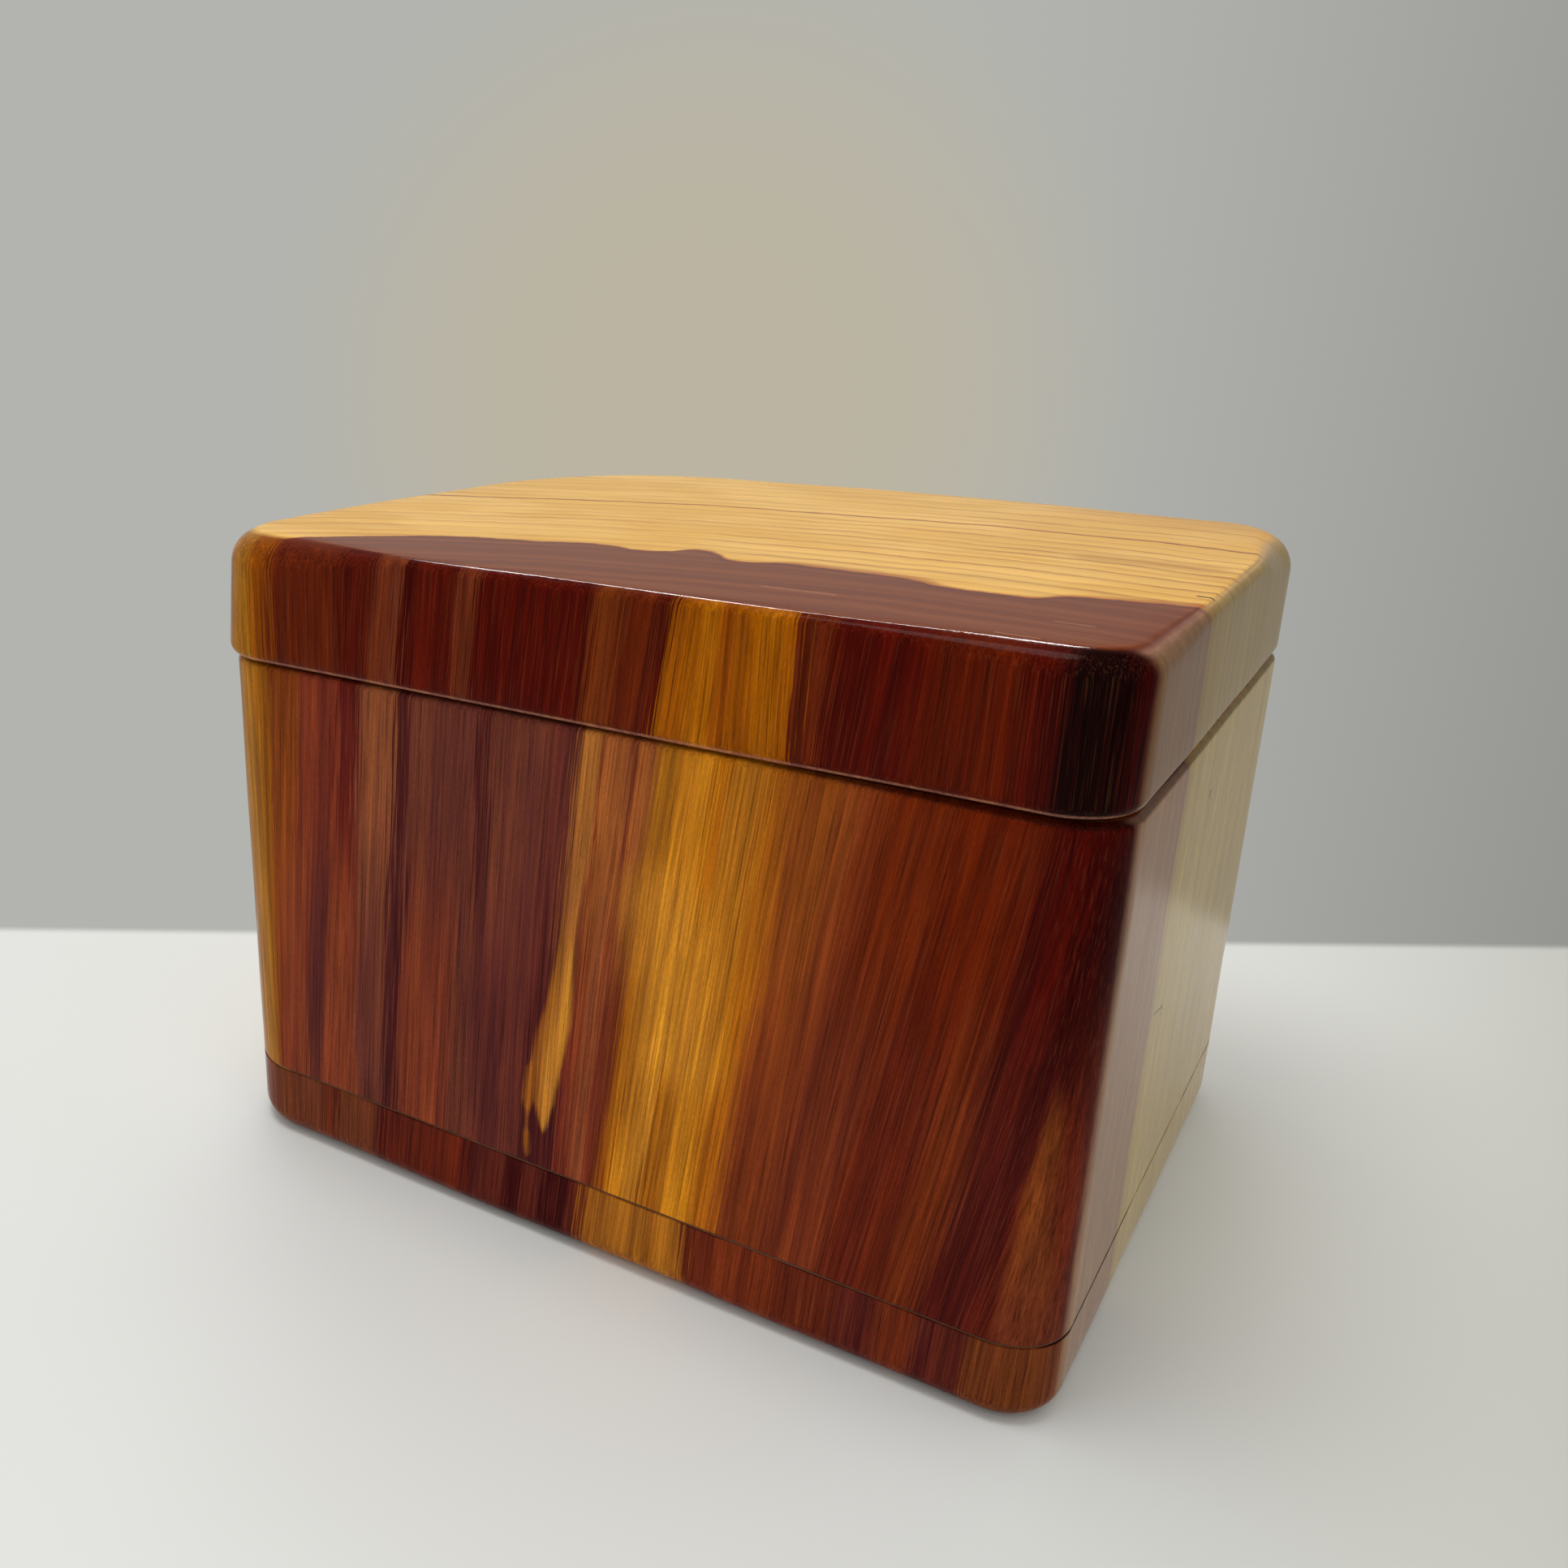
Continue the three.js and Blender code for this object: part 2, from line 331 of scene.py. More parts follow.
class Graph:
    """The nodes of a material or world. Each method adds a node and gives back its output."""

    def __init__(self, owner):
        owner.use_nodes = True
        self.owner = owner
        self.nodes = owner.node_tree.nodes
        self.links = owner.node_tree.links

    def feed(self, socket, value):
        if isinstance(value, bpy.types.NodeSocket):
            self.links.new(value, socket)
        else:
            socket.default_value = value

    def add(self, kind, inputs, **settings):
        node = self.nodes.new(kind)
        for name, value in settings.items():
            setattr(node, name, value)
        for key, value in inputs.items():
            self.feed(node.inputs[key], value)
        return node

    def math(self, operation, *values):
        return self.add("ShaderNodeMath", dict(enumerate(values)), operation=operation).outputs[0]

    plus = partialmethod(math, "ADD")
    minus = partialmethod(math, "SUBTRACT")
    times = partialmethod(math, "MULTIPLY")
    larger = partialmethod(math, "MAXIMUM")
    size = partialmethod(math, "ABSOLUTE")

    def rise(self, value, low, high, to_low=0.0, to_high=1.0, kind="SMOOTHSTEP"):
        ends = {"Value": value, "From Min": low, "From Max": high, "To Min": to_low, "To Max": to_high}
        return self.add("ShaderNodeMapRange", ends, interpolation_type=kind).outputs["Result"]

    slope = partialmethod(rise, kind="LINEAR")

    def combined(self, x, y, z):
        return self.add("ShaderNodeCombineXYZ", {0: x, 1: y, 2: z}).outputs[0]

    def parts(self, vector):
        return self.add("ShaderNodeSeparateXYZ", {0: vector}).outputs

    def vector(self, operation, first, second, output="Vector"):
        node = self.add("ShaderNodeVectorMath", {0: first, 1: second}, operation=operation)
        return node.outputs[output]

    stretched = partialmethod(vector, "MULTIPLY")

    def scaled(self, vector, factor):
        return self.add("ShaderNodeVectorMath", {0: vector, 3: factor}, operation="SCALE").outputs[0]

    def noise(self, place, detail=2.0, roughness=0.5):
        inputs = {"Vector": place, "Scale": 1.0, "Detail": detail, "Roughness": roughness}
        return self.add("ShaderNodeTexNoise", inputs).outputs["Fac"]

    def distance_to_line(self, place, start, end):
        """How far each place is from the straight line between two points."""
        course = Vector(end) - Vector(start)
        from_start = self.vector("SUBTRACT", place, start)
        share = self.vector("DOT_PRODUCT", from_start, course / course.length_squared, "Value")
        nearest = self.scaled(course, self.slope(share, 0.0, 1.0))
        return self.vector("DISTANCE", from_start, nearest, "Value")

    def mix(self, share, first, second, blend="MIX"):
        inputs = {0: share, 6: first, 7: second}
        return self.add("ShaderNodeMix", inputs, data_type="RGBA", blend_type=blend).outputs[2]

    def ramp(self, value, stops):
        """A colour for each value, from no more stops than one colour ramp can hold."""
        low, high = stops[0][0], stops[-1][0]
        node = self.add("ShaderNodeValToRGB", {"Fac": self.slope(value, low, high)})
        elements = node.color_ramp.elements
        elements[0].color, elements[1].color = stops[0][1], stops[-1][1]
        for at, colour in stops[1:-1]:
            elements.new((at - low) / (high - low)).color = colour
        return node.outputs["Color"]

    def colours_along(self, value, stops):
        """A colour for each value, from any number of stops of a value and a colour in rising order."""
        colour = self.ramp(value, stops[:RAMP_LIMIT])
        for start in range(RAMP_LIMIT - 1, len(stops) - 1, RAMP_LIMIT - 1):
            following = stops[start:start + RAMP_LIMIT]
            past = self.math("GREATER_THAN", value, following[0][0])
            colour = self.mix(past, colour, self.ramp(value, following))
        return colour

    def curve_along(self, value, points):
        """A number for each value, on a smooth curve through points of a value and a number."""
        low, high = points[0][0], points[-1][0]
        floor, ceiling = min(p[1] for p in points), max(p[1] for p in points)
        node = self.add("ShaderNodeFloatCurve", {"Value": self.slope(value, low, high)})
        curve = node.mapping.curves[0]
        for at, number in points[1:-1]:
            curve.points.new((at - low) / (high - low), (number - floor) / (ceiling - floor))
        curve.points[0].location = (0.0, (points[0][1] - floor) / (ceiling - floor))
        curve.points[-1].location = (1.0, (points[-1][1] - floor) / (ceiling - floor))
        for point in curve.points:
            point.handle_type = "AUTO_CLAMPED"
        node.mapping.update()
        return self.slope(node.outputs["Value"], 0.0, 1.0, floor, ceiling)

    def bump(self, height, distance, strength=1.0):
        inputs = {"Height": height, "Distance": distance * MM, "Strength": strength}
        return self.add("ShaderNodeBump", inputs).outputs["Normal"]


# Colours, each written as it looks on its side of the box

# A side of the box: its share of full light, and the haze that its shine lays over the wood.
# PLAIN leaves a colour as it is written.
Side = namedtuple("Side", "light haze")
TOP = Side(0.82, 0.1)
FRONT = Side(0.73, 0.003)
PLAIN = Side(1.0, 0.0)


def linear(value):
    value /= 255
    return value / 12.92 if value <= 0.04045 else ((value + 0.055) / 1.055) ** 2.4


def own_colour(red, green, blue, side=PLAIN):
    """A surface's own colour, from how it looks on a side of the box."""
    parts = [(linear(value) - side.haze) / side.light for value in (red, green, blue)]
    return (*(min(1.0, max(0.001, part)) for part in parts), 1.0)


def on_front(red, green, blue):
    return own_colour(red, green, blue, FRONT)


# The colours of one kind of face
Wood = namedtuple("Wood", "sap pale latewood fringe heart dark_heart heart_edge")
TOP_WOOD = Wood(
    sap=own_colour(227, 180, 110, TOP), pale=own_colour(235, 190, 121, TOP),
    latewood=own_colour(150, 104, 82, TOP), fringe=own_colour(172, 112, 84, TOP),
    heart=own_colour(144, 104, 92, TOP), dark_heart=own_colour(131, 97, 88, TOP),
    heart_edge=own_colour(126, 94, 83, TOP),
)
SIDE_WOOD = Wood(
    sap=own_colour(200, 160, 110), pale=own_colour(207, 167, 117),
    latewood=own_colour(184, 145, 98), fringe=own_colour(186, 136, 100),
    heart=own_colour(176, 126, 104), dark_heart=own_colour(166, 118, 99),
    heart_edge=own_colour(160, 112, 92),
)
CORNER_GOLD = own_colour(172, 122, 50)
TOP_SAP_BROWN = own_colour(196, 148, 98, TOP)
# Painted shade for the heartwood's rounded top edges, which reflect nothing bright
TOP_HEART_ROUND_SHADE = on_front(82, 34, 26)

# Painted shade: what the wood's colour is multiplied by on a piece's right side, which is darker where
# it turns from the light
LID_RIGHT_SHADE = (0.53, 0.58, 0.41, 1)
BODY_RIGHT_SHADE = (0.79, 0.93, 0.8, 1)

# Colours of the figure on the body's front
# STRIP_GOLD is partly painted shade: the gold strip at the left corner is darker where light falls off
STRIP_GOLD = on_front(144, 95, 32)
STRIP_BROWN = on_front(130, 78, 20)
AMBER = on_front(118, 58, 22)
MAROON = on_front(110, 47, 31)
DARK_MAROON = on_front(82, 26, 23)
PALE_MAROON = on_front(122, 68, 44)
WINE = on_front(70, 28, 28)
PLUM = on_front(97, 50, 39)
PURPLE = on_front(88, 41, 36)
TAN_GOLD = on_front(148, 92, 44)
TAN = on_front(138, 78, 40)
OLIVE_GOLD = on_front(158, 102, 26)
PALE_GOLD = on_front(190, 128, 40)
GOLD = on_front(172, 110, 28)
DEEP_GOLD = on_front(150, 86, 18)
COPPER = on_front(146, 82, 22)
BROWN = on_front(122, 62, 24)
RUSSET = on_front(117, 54, 26)
RED_BROWN = on_front(105, 46, 27)
LOW_RED = on_front(116, 54, 34)
DEEP_RUSSET = on_front(102, 38, 15)
DEEP_RED = on_front(88, 32, 20)
AUBURN = on_front(90, 29, 8)
BROWN_STRIP = on_front(100, 42, 21)
DARK_STRIP = on_front(72, 24, 20)
CORNER_RED = on_front(66, 15, 8)
CORNER_MAROON = on_front(48, 10, 8)
FLAME = on_front(176, 118, 44)
FLAME_SHADE = on_front(138, 80, 30)
FLAME_TAN = on_front(146, 90, 44)
ORANGE_PATCH = on_front(108, 54, 26)
ORANGE_PATCH_LOW = on_front(100, 47, 28)

# Colours of the figure on the lid's front, which is redder and deeper
LID_SAP = on_front(136, 88, 20)
LID_AMBER = on_front(122, 62, 8)
LID_RUSSET = on_front(86, 31, 15)
LID_DARK = on_front(72, 20, 13)
LID_BROWN = on_front(94, 41, 24)
LID_PALE = on_front(102, 52, 32)
LID_BLACK = on_front(56, 13, 10)
LID_MAROON = on_front(76, 20, 13)
LID_PURPLE = on_front(70, 17, 12)
LID_TAN = on_front(96, 42, 18)
LID_GOLD = on_front(136, 74, 8)
LID_GOLD_PALE = on_front(150, 88, 14)
LID_ORANGE = on_front(78, 24, 11)
# Painted shade: the near black of the lid's front where it turns round its right corner
LID_CORNER_SHADE = on_front(24, 2, 2)
LID_RED = on_front(50, 6, 5)

# Colours of the figure on the base's front, partly painted shade: they are darker, as the base lies in
# shadow low down
BASE_RUSSET = on_front(98, 50, 30)
BASE_RED = on_front(90, 32, 20)
BASE_PURPLE = on_front(76, 30, 25)
BASE_DARK = on_front(60, 16, 16)
BASE_GOLD = on_front(150, 94, 30)
BASE_GOLD_DEEP = on_front(130, 72, 24)
BASE_BROWN = on_front(99, 41, 23)
BASE_ORANGE = on_front(98, 50, 26)

SEAM_BROWN = on_front(34, 12, 8)
# Painted shade for the gap under the lid, and a painted highlight for the lid's lip
SHADE = on_front(20, 8, 5)
LIP_HIGHLIGHT = on_front(150, 108, 90)
PALE_FIBRE = on_front(142, 86, 52)


def figure_stops(*runs):
    """Stops of a figure, from runs of one colour and the places where it holds."""
    return [(place, colour) for colour, *places in runs for place in places]


# The figures of the lid's and the body's front, from left to right along the top of the body.
# The body's changes from one to another on its way down.
LID_FIGURE = figure_stops(
    (LID_SAP, -52, -42.6), (LID_AMBER, -41.9, -40.2), (LID_RUSSET, -39, -30.5),
    (LID_DARK, -29.8, -26.7), (LID_BROWN, -26, -23.5), (LID_PALE, -23), (LID_BROWN, -22.6),
    (LID_BLACK, -22.2, -21.6), (LID_MAROON, -21.2, -15.7), (LID_BROWN, -15.2, -13.3),
    (LID_PURPLE, -12.8, -0.7), (LID_TAN, 0, 2.4), (LID_RUSSET, 3, 6.3), (LID_DARK, 6.7, 7.6),
    (LID_GOLD, 8.2, 10.7), (LID_GOLD_PALE, 11.2, 12.4), (LID_AMBER, 13.4, 15),
    (LID_GOLD, 15.6, 17.7), (LID_GOLD_PALE, 18.2, 19), (LID_GOLD, 19.5, 21),
    (LID_RUSSET, 21.4, 23.4), (LID_PURPLE, 24, 31), (LID_ORANGE, 33.2, 39.5), (LID_PURPLE, 41.5),
    (LID_CORNER_SHADE, 44.8, 47.8), (LID_RED, 49.2, 52),
)
BODY_FIGURE_HIGH = figure_stops(
    (STRIP_GOLD, -52, -43.4), (STRIP_BROWN, -42.4, -41), (AMBER, -40, -36.6), (MAROON, -35.2, -30.8),
    (DARK_MAROON, -30, -27.8), (PALE_MAROON, -27, -22.7), (WINE, -22, -20.9),
    (PLUM, -20.3, -12), (WINE, -11.5, -10.7), (PLUM, -10.1, -4),
    (PURPLE, -3.2, -0.4), (TAN_GOLD, 0.3, 2), (MAROON, 2.6), (TAN, 3.1, 5.6), (MAROON, 6.2),
    (TAN, 6.9, 8), (OLIVE_GOLD, 9.4, 10.4), (GOLD, 11.2, 13.8), (DEEP_GOLD, 15, 15.7),
    (GOLD, 16.6, 19), (COPPER, 20.4, 21.4), (BROWN, 23.4, 26), (RUSSET, 28.5),
    (DEEP_RUSSET, 31.5, 36), (AUBURN, 37.5, 43), (CORNER_RED, 45.4, 47.5), (CORNER_MAROON, 49.5, 58),
)
BODY_FIGURE_LOW = figure_stops(
    (STRIP_GOLD, -52, -42), (STRIP_BROWN, -41), (RUSSET, -39.6), (LOW_RED, -37.5, -34),
    (PURPLE, -33.2, -31.6), (LOW_RED, -30.6, -27), (PLUM, -26, -22.5),
    (WINE, -21.9, -20.8), (LOW_RED, -20, -14), (PLUM, -13), (PURPLE, -9, -4),
    (WINE, -2.4, 1.4), (MAROON, 2.8), (LOW_RED, 4.2), (PALE_MAROON, 5.2), (MAROON, 6.2),
    (RED_BROWN, 7.6), (DEEP_GOLD, 9.4), (GOLD, 10.6), (PALE_GOLD, 13.8), (DEEP_GOLD, 15),
    (GOLD, 16.2, 18.8), (DEEP_GOLD, 20.4), (COPPER, 21.4), (RUSSET, 23, 27),
    (RED_BROWN, 28.5, 34.5), (DEEP_RED, 36.6, 41), (BROWN_STRIP, 42.6, 44.2), (DARK_STRIP, 46, 49),
    (DEEP_RED, 52, 58),
)

# The base's figure from left to right, where it crosses the seam above the base
BASE_FIGURE = figure_stops(
    (BASE_RUSSET, -52, -36), (BASE_RED, -33.9), (BASE_DARK, -33.5), (BASE_RUSSET, -33, -28),
    (BASE_PURPLE, -26.7), (BASE_DARK, -26.2), (BASE_RED, -25.6, -14.3), (BASE_DARK, -13.7),
    (BASE_PURPLE, -13.1, -9.3), (BASE_DARK, -8.7, -7.5), (BASE_PURPLE, -6.9, -4.4),
    (BASE_DARK, -3.8, -1.6), (BASE_PURPLE, -0.6), (BASE_BROWN, 0.8), (BASE_GOLD, 1.4),
    (BASE_GOLD_DEEP, 2.1), (BASE_GOLD, 2.8, 9.1), (BASE_GOLD_DEEP, 9.6), (BASE_GOLD, 10.1, 13.2),
    (BASE_BROWN, 13.9, 29), (BASE_PURPLE, 30, 33.8), (BASE_BROWN, 34.6, 37.3), (BASE_PURPLE, 38, 42),
    (BASE_ORANGE, 42.9, 49.3), (BASE_PURPLE, 52),
)

# How far the grain leans sideways for each length down, across the front
LID_LEAN = [
    (-44, 0), (-30, 0.05), (-21, 0.14), (-10, 0.12), (2, 0.13), (9, 0.14), (15, 0.06), (21, 0.02),
    (27, 0.12), (35, 0.07), (45, 0),
]
BODY_LEAN = [
    (-44, 0), (-36, 0.09), (-22, 0.08), (-11, 0.078), (0, 0.11), (8, 0.127), (21, 0.129),
    (30, 0.165), (40, 0.155), (46, 0.125), (50, 0.105),
]
BASE_LEAN = [(-44, 0), (-36, 0.08), (0, 0.12), (13, 0.08), (40, 0.08), (50, 0)]

# The pale flame in the body's front: its middle and half width at each height, and its left prong
FLAME_MIDDLE = [
    (8, -4.3), (14, -4.2), (17.9, -4.2), (23.5, -3.45), (29, -2.25), (34.6, -1.6), (37.1, -1.35),
    (42.7, -0.25), (48.2, 0.45), (53.8, 0.88), (60, 1.5),
]
FLAME_REACH = [
    (8, -1.5), (10.6, -1.2), (14, 0.3), (16, 0.9), (17.9, 1.4), (23.5, 1.8), (29, 1.4), (34.6, 0.9),
    (37.1, 0.65), (42.7, 0.7), (48.2, 0.55), (53.8, 0.6), (60, 0.6),
]
PRONG_MIDDLE = [(8, -6.2), (14, -6.3), (20, -5.6), (60, -5.6)]
PRONG_REACH = [
    (8, -1.5), (9, -0.8), (10.8, 0.3), (12.2, 0.3), (13.6, 0), (15.8, 0.5), (18, 0.8), (21, 0.3),
    (24, -1.5), (60, -1.5),
]

# The orange flame at the lower right of the body's front
ORANGE_MIDDLE = [(8, 47.2), (21, 46.7), (34.6, 47.15), (60, 47.15)]
ORANGE_REACH = [(8, 2.6), (14, 2), (21, 1.3), (30, 0.6), (42, -1.2), (60, -1.5)]

# Where the heartwood ends and the sapwood begins: across the block, and how far back
HEART_EDGE = [
    (-52, -48), (-41, -39.6), (-38, -37), (-30, -30), (-24, -26), (-17, -24), (-8, -21.2),
    (-5, -21.8), (-1.8, -20.6), (0.6, -18), (3.2, -19.2), (6.4, -21.4), (12, -19.6), (23.5, -20),
    (28.5, -22), (35, -22), (38.4, -19.4), (42, -18.4), (48, -17.4), (52, -16.6),
]

# How wide the orange fringe beyond that edge is, across the block
FRINGE_WIDTH = [
    (-52, 1), (-30, 0.8), (8, 0.9), (13, 2.6), (25, 2.6), (30, 1), (36, 1.6), (52, 3),
]

# Growth rings about the pith, which was outside the block: how far out, and how dark
PITH = (28, -139, 0)
RINGS = [
    (103, 0.4), (109.5, 0.3), (116, 0.4), (120.6, 0.5), (124.4, 0.8), (127.2, 0.5), (130.8, 0.9),
    (134.6, 0.75), (137, 0.5), (139.6, 0.95), (142.4, 0.8), (145, 0.5), (148.2, 0.8), (151.4, 0.6),
    (158.4, 0.5), (161.4, 0.75), (166.5, 0.6), (171, 0.55), (174.2, 0.4), (177.5, 0.6), (184, 0.6),
    (189, 0.5), (194.5, 0.5),
]
RING_MARGIN = 5

# Many values from here on are ramps: where each starts and ends, and the two numbers that it
# goes from and to, which are 0 and 1 where only its ends are given.

# How far before its line a ring starts to darken, and how far beyond it the ring has cleared
SOFT_RING = (1.3, 0.6)
CRISP_RING = (0.5, 0.3)
RING_HIGHLIGHT = (0.35, 0.35)

# The rings are soft all over, and crisp with a painted highlight beyond them towards the right, as on
# raised latewood
SOFT_RING_STRENGTH = 0.45
CRISP_ACROSS = (-36, 24, 0.3, 1)
RING_HIGHLIGHT_ACROSS = (-12, 34)
RING_HIGHLIGHT_OFFSET = 0.65

# One ring that is dark all along: how far out it is, and how it darkens towards its middle
STRONG_RING = 155.2
STRONG_RING_FADE = (0.7, 0.15, 0, 0.8)

# How far the normal points up, right or back on each kind of face
END_GRAIN_NORMAL = (0.82, 0.96)
RIGHT_NORMAL = (0.3, 0.8)
FRONT_NORMAL = (-0.12, -0.4)
TOP_ROUND_NORMAL = (0.99, 0.9)
RIM_ROUND_NORMAL = (0.98, 0.9, 0, 0.6)
LID_FOOT_NORMAL = (-0.98, -0.88)

# A noise that strays about nought: how fine it is across, back and up, how far it strays, its detail
Waver = namedtuple("Waver", "fineness reach detail", defaults=[2.0])
RING_DRIFT = Waver((0.07, 0.07, 0.006), 1.3)
RING_TREMOR = Waver((0.5, 0.5, 0.01), 0.3, 4)
EDGE_FRAY = Waver((0.5, 0.5, 0.02), 0.4, 4)
FIGURE_FRAYS = [
    Waver((0.12, 0, 0.022), 0.5), Waver((0.9, 0, 0.03), 0.6, 3), Waver((4.5, 0, 0.07), 2.6, 3),
]
FLAME_FRAY = Waver((4, 0, 0.08), 0.5, 3)
BLEND_FRAY = Waver((0.8, 0, 0), 6)
SEAM_WAVE = Waver((0.9, 0.9, 0), 0.05, 3)
MARK_WAVE = Waver((2, 2, 2), 0.1)

# Soft patches of noise: how fine they are, and the ramp from the noise to their strength
Patches = namedtuple("Patches", "fineness ramp")
RING_PATCHES = Patches((0.06, 0.12, 0.01), (0.35, 0.6, 0.45, 1))
SAP_CLOUDS = Patches((0.05, 0.09, 0.012), (0.4, 0.62))
HEART_BANDS = Patches((0.33, 0, 0), (0.35, 0.65))
SEAM_PATCHES = Patches((0.14, 0.14, 0), (0.38, 0.6, 0.2, 0.65))

# Layers of the long grain's fibres: how fine across and along, the noise's detail and roughness,
# and how much darker and lighter than the wood they get. The hairs are picked out below instead.
Fibres = namedtuple("Fibres", "across along detail roughness contrast")
FIBRES = {
    "streak": Fibres(1.7, 0.04, 3, 0.6, 0.2),
    "broad": Fibres(0.7, 0.03, 3, 0.55, 0.12),
    "fine": Fibres(4, 0.07, 3, 0.65, 0.28),
    "grit": Fibres(9, 2, 2, 0.6, 0.14),
    "blotch": Fibres(0.16, 0.1, 3, 0.5, 0.08),
    "hair": Fibres(8, 0.12, 2, 0.5, 0),
}
NOISE_RANGE = (0.3, 0.7)
NOISE_GAIN = 2.5
FLAT = (1, 1, 0)

# The light of the dark hairs, the share of the pale ones, and the wood's change of hue
DARK_HAIRS = (0.32, 0.42, 0.6, 1)
PALE_HAIRS = (0.54, 0.7, 0, 0.1)
HUE_RANGE = (0.35, 0.65)
PURPLE_TINT = (0.88, 0.78, 0.92, 1)
ORANGE_TINT = (1.14, 1.12, 0.9, 1)

# The end grain's arcs: how fine outward, across and up, the noise's detail and roughness
ARC_FINENESS = (1.9, 0.05, 0.005)
ARC_NOISE = (4, 0.65)
ARC_CONTRAST = 0.14
END_GRIT_CONTRAST = 0.04

# How far past the heartwood's edge the sapwood starts and is full, and the heartwood's dark rim too
SAP_START = (-0.3, 0.3)
HEART_RIM = (-1.6, -0.2)
HEART_RIM_SHARE = 0.8
FRINGE_SHARE = 0.85
SIDE_RINGS_SHARE = 0.5

# How far back the sides turn golden and maroon towards the front
CORNER_GOLD_BACK = (-6, -37, 0, 0.8)
CORNER_MAROON_BACK = (-35, -36.8)

# Soft smears: from where to where, and the ramp from the distance to their strength
Smear = namedtuple("Smear", "start end ramp")
BROWN_PATCH = Smear((35, 2.5, 0), (46, 2.5, 0), (3.4, 0.6, 0, 0.5))
BROWN_CORNER = Smear((30, 40, 0), (50, 34, 0), (16, 2, 0, 0.55))
FRONT_Y = -BODY_DEPTH / 2
# A painted sheen: a paler patch in the middle of the gold band on the body's front
PAINTED_GOLD_SHEEN = Smear((12, FRONT_Y, 28), (10, FRONT_Y, 42), (7, 1, 0, 0.75))

# Heights where the lower colours of the body's figure and flames give way to the upper ones
FIGURE_CHANGE = (26, 48)
FLAME_CHANGE = (30, 42)
ORANGE_CHANGE = (10, 24)
FLAME_SOFTNESS = 0.4
ORANGE_SOFTNESS = 0.9
FLAME_LIT_SIDE = (-1.6, 0.8)

# The seam's line, the painted shade on the body's rim, and the lid's lip with its painted highlight and
# the painted shade of its foot
SEAM_LINE = (0.28, 0.1)
SEAM_DARK_ACROSS = (47, 49)
SEAM_DARK_BACK = (-8, -12)
RIM_SHADE_ACROSS = (10, 45, 0.1, 0.5)
RIM_SHADE_HIGH = (-0.2, 0.1)
LIP_HEIGHT = 0.5
LIP_LINE = (0.24, 0.08, 0, 0.6)
FOOT_SHADE_HIGH = (0.32, 0.14, 0, 0.9)

# A finish: how strong its streaks are, which fibres make it rougher and by what ramp, how shiny it
# is, the relief of its fibres, and the size and strength of its bumps
Finish = namedtuple("Finish", "streaks rough_fibres roughness shine relief bump")
LACQUER = Finish(1.0, "streak", (0.08, 0.16), 0.035, {"streak": 0.7, "fine": 0.4}, (0.035, 0.6))
BARE = Finish(0.5, "fine", (0.62, 0.8, "LINEAR"), 0.25, {"streak": 0.4, "fine": 0.5}, (0.12, 0.8))

# How high arcs, rings and saw marks stand, how strong the side's fibres are, and bare wood's colour
ARC_RELIEF = 0.5
RING_RELIEF = 0.3
SAW_RELIEF = 0.8
SIDE_FIBRES = 0.35
BARE_COLOUR = own_colour(205, 160, 120)
BARE_COLOUR_SHARE = 0.35
SAW_FINENESS = (1.4, 1.4, 0.02)


# Wood materials

def grey(value):
    return (value, value, value, 1.0)


def ring_stops(before, after):
    """Grey stops for the growth rings: each darkens outward over one length and clears over another."""
    stops = [(RINGS[0][0] - RING_MARGIN, grey(0.0))]
    for radius, strength in RINGS:
        stops += [(radius - before, grey(0.0)), (radius, grey(strength)), (radius + after, grey(0.0))]
    return [*stops, (RINGS[-1][0] + RING_MARGIN, grey(0.0))]


